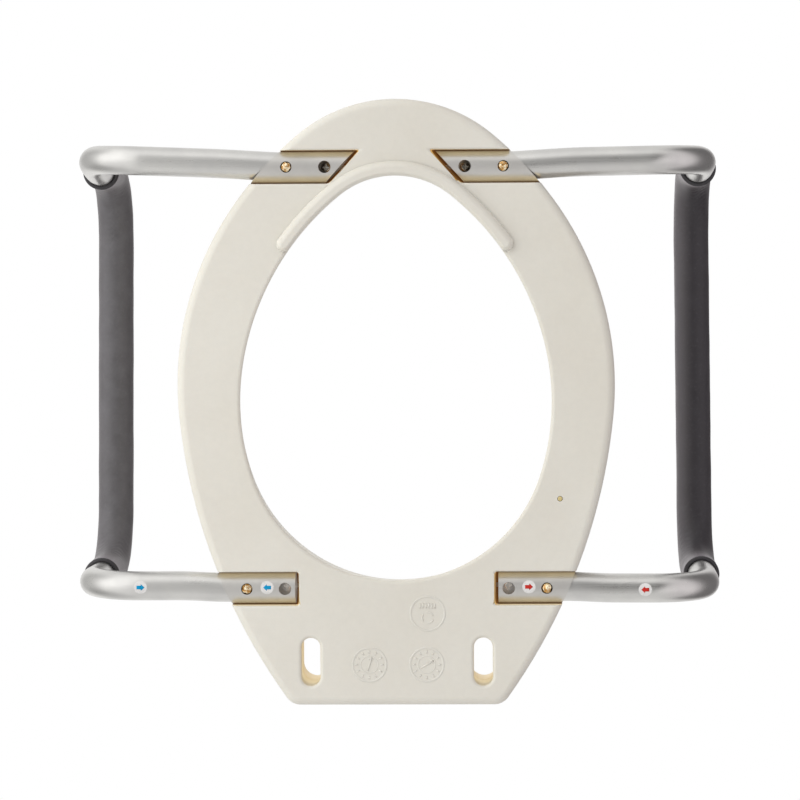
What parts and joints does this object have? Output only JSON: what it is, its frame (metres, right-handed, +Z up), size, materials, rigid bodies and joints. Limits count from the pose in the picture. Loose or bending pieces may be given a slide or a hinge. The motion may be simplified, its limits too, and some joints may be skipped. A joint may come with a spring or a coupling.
{
  "type": "raised toilet seat",
  "caption": "Hollow moulded riser ring for an elongated toilet bowl, with two U-shaped foam-gripped arm handles that plug into sleeves underneath.",
  "frame": {"origin": "bottom centre of the whole object's box: midway between the arms and between front tip and hinge end, level with the underside of the locating rib", "axes": "+X across the seat to the right arm, +Y to the hinge end, -Y to the front of the bowl, +Z up"},
  "size_m": [0.537, 0.4911, 0.2165],
  "materials": {
    "ivory_plastic": "satin ivory blow-moulded polyethylene",
    "plug_plastic": "slightly yellower moulded plug",
    "sleeve_aluminium": "satin drawn tube",
    "tube_aluminium": "satin anodised drawn tube",
    "grip_foam": "dark grey closed-cell foam",
    "button_brass": "yellow-passivated snap button",
    "zinc_steel": "zinc-plated steel",
    "sticker_vinyl": "white vinyl with a printed arrow"
  },
  "bodies": {
    "riser": {"seat_riser_shell": "ivory_plastic", "blow_pin_plug": "plug_plastic", "front_left_sleeve": "sleeve_aluminium", "front_right_sleeve": "sleeve_aluminium", "rear_left_sleeve": "sleeve_aluminium", "rear_right_sleeve": "sleeve_aluminium", "front_left_sleeve_screw": "zinc_steel", "front_right_sleeve_screw": "zinc_steel", "rear_left_sleeve_screw": "zinc_steel", "rear_right_sleeve_screw": "zinc_steel", "left_sleeve_sticker": "sticker_vinyl", "right_sleeve_sticker": "sticker_vinyl"},
    "left_handle": {"left_handle_tube": "tube_aluminium", "left_grip": "grip_foam", "left_tube_sticker": "sticker_vinyl", "front_left_snap_spring": "zinc_steel", "rear_left_snap_spring": "zinc_steel"},
    "right_handle": {"right_handle_tube": "tube_aluminium", "right_grip": "grip_foam", "right_tube_sticker": "sticker_vinyl", "front_right_snap_spring": "zinc_steel", "rear_right_snap_spring": "zinc_steel"},
    "front_left_button": {"front_left_snap_button": "button_brass"},
    "front_right_button": {"front_right_snap_button": "button_brass"},
    "rear_left_button": {"rear_left_snap_button": "button_brass"},
    "rear_right_button": {"rear_right_snap_button": "button_brass"}
  },
  "joints": [
    {"name": "left_handle_slide", "type": "slide", "parent": "riser", "child": "left_handle", "axis": [-1, 0, 0], "range_m": [0, 0.08], "deforming": ["front_left_snap_button", "rear_left_snap_button"]},
    {"name": "right_handle_slide", "type": "slide", "parent": "riser", "child": "right_handle", "axis": [1, 0, 0], "range_m": [0, 0.08], "deforming": ["front_right_snap_button", "rear_right_snap_button"]},
    {"name": "front_left_button_press", "type": "slide", "parent": "left_handle", "child": "front_left_button", "axis": [0, 0, 1], "range_m": [0, 0.0025], "stiffness_N_per_m": 800, "deforming": ["front_left_snap_spring"]},
    {"name": "front_right_button_press", "type": "slide", "parent": "right_handle", "child": "front_right_button", "axis": [0, 0, 1], "range_m": [0, 0.0025], "stiffness_N_per_m": 800, "deforming": ["front_right_snap_spring"]},
    {"name": "rear_left_button_press", "type": "slide", "parent": "left_handle", "child": "rear_left_button", "axis": [0, 0, 1], "range_m": [0, 0.0025], "stiffness_N_per_m": 800, "deforming": ["rear_left_snap_spring"]},
    {"name": "rear_right_button_press", "type": "slide", "parent": "right_handle", "child": "rear_right_button", "axis": [0, 0, 1], "range_m": [0, 0.0025], "stiffness_N_per_m": 800, "deforming": ["rear_right_snap_spring"]}
  ]
}
